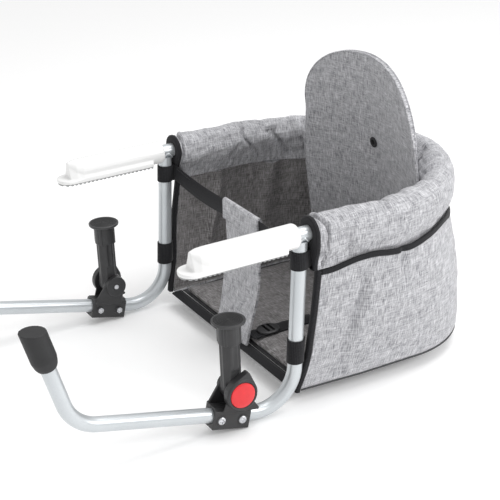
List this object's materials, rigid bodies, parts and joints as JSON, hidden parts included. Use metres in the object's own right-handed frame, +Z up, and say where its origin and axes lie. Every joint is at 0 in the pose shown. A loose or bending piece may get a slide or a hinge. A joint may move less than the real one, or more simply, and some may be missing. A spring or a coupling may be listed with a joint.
{
  "type": "hook-on table chair",
  "caption": "Hook-on table chair: bent steel tube frame with table grips and folding screw jacks, carrying a padded melange fabric bucket seat with a bowed backrest",
  "frame": {"origin": "midway between the two arms, on the plane of the table top (the underside of the grips' soles), at the table's edge", "axes": "+X away from the table over the seat, +Y from the child's left arm to the right arm, +Z up"},
  "size_m": [0.7154, 0.44, 0.4016],
  "materials": {
    "silver_tube": "silver powder coat, satin",
    "white_plastic": "glossy moulded",
    "pad_rubber": "ribbed, matt",
    "black_rubber": "matt",
    "black_plastic": "fine grain",
    "red_plastic": "glossy, domed",
    "zinc_steel": "zinc plated",
    "melange_fabric": "light grey melange, plain weave, padded",
    "dark_fabric": "dark grey lining",
    "black_webbing": "woven tape and webbing"
  },
  "bodies": {
    "frame": {"rim_tube": "silver_tube", "lower_tube_left": "silver_tube", "lower_tube_right": "silver_tube", "table_grip_left": "white_plastic", "table_grip_right": "white_plastic", "grip_pad_left": "pad_rubber", "grip_pad_right": "pad_rubber", "foot_cap_left": "black_rubber", "foot_cap_right": "black_rubber", "clamp_outer_half_left": "black_plastic", "clamp_outer_half_right": "black_plastic", "clamp_inner_half_left": "black_plastic", "clamp_inner_half_right": "black_plastic", "clamp_bolt_rear_left": "zinc_steel", "clamp_bolt_rear_right": "zinc_steel", "clamp_nut_rear_left": "zinc_steel", "clamp_nut_rear_right": "zinc_steel", "clamp_bolt_front_left": "zinc_steel", "clamp_bolt_front_right": "zinc_steel", "clamp_nut_front_left": "zinc_steel", "clamp_nut_front_right": "zinc_steel", "pivot_pin_left": "zinc_steel", "pivot_pin_right": "zinc_steel", "bucket_wall": "melange_fabric", "bucket_floor": "dark_fabric", "floor_edge_band": "black_webbing", "outer_pocket": "melange_fabric", "pocket_binding": "black_webbing", "front_edge_binding_left": "black_webbing", "front_edge_binding_right": "black_webbing", "arm_sleeve": "melange_fabric", "sleeve_end_binding_left": "black_webbing", "sleeve_end_binding_right": "black_webbing", "tube_strap_left": "black_webbing", "tube_strap_right": "black_webbing", "front_strap": "black_webbing", "crotch_panel": "melange_fabric", "seat_board": "dark_fabric", "backrest_panel": "melange_fabric", "backrest_eyelet": "black_rubber", "crotch_strap": "black_webbing", "strap_adjuster": "black_plastic"},
    "column_left": {"support_column_left": "black_plastic", "button_spring_left": "zinc_steel"},
    "column_right": {"support_column_right": "black_plastic", "button_spring_right": "zinc_steel"},
    "button_left": {"release_button_left": "red_plastic", "lock_gear_left": "zinc_steel"},
    "button_right": {"release_button_right": "red_plastic", "lock_gear_right": "zinc_steel"},
    "collar_left": {"height_collar_left": "black_plastic"},
    "collar_right": {"height_collar_right": "black_plastic"},
    "jack_left": {"jack_spindle_left": "black_plastic", "pressure_disc_left": "black_plastic", "disc_pad_left": "black_rubber"},
    "jack_right": {"jack_spindle_right": "black_plastic", "pressure_disc_right": "black_plastic", "disc_pad_right": "black_rubber"}
  },
  "joints": [
    {"name": "column_fold_left", "type": "hinge", "parent": "frame", "child": "column_left", "pos_m": [-0.08808, -0.194, -0.17345], "axis": [0, -1, 0], "range_deg": [0, 76]},
    {"name": "column_fold_right", "type": "hinge", "parent": "frame", "child": "column_right", "pos_m": [-0.08808, 0.194, -0.17345], "axis": [0, -1, 0], "range_deg": [0, 76]},
    {"name": "button_press_left", "type": "slide", "parent": "column_left", "child": "button_left", "axis": [0, 1, 0], "range_m": [0, 0.004], "stiffness_N_per_m": 900, "deforming": ["button_spring_left"]},
    {"name": "button_press_right", "type": "slide", "parent": "column_right", "child": "button_right", "axis": [0, -1, 0], "range_m": [0, 0.004], "stiffness_N_per_m": 900, "deforming": ["button_spring_right"]},
    {"name": "collar_turn_left", "type": "hinge", "parent": "column_left", "child": "collar_left", "pos_m": [-0.09208, -0.194, -0.1], "axis": [0, 0, 1], "range_deg": [0, 3600]},
    {"name": "collar_turn_right", "type": "hinge", "parent": "column_right", "child": "collar_right", "pos_m": [-0.09208, 0.194, -0.1], "axis": [0, 0, 1], "range_deg": [0, 3600]},
    {"name": "spindle_lift_left", "type": "slide", "parent": "column_left", "child": "jack_left", "axis": [0, 0, 1], "range_m": [0, 0.05]},
    {"name": "spindle_lift_right", "type": "slide", "parent": "column_right", "child": "jack_right", "axis": [0, 0, 1], "range_m": [0, 0.05]}
  ],
  "couplings": [
    {"joint": "spindle_lift_left", "follows": "collar_turn_left", "m_per_rad": 0.00079577},
    {"joint": "spindle_lift_right", "follows": "collar_turn_right", "m_per_rad": 0.00079577}
  ]
}
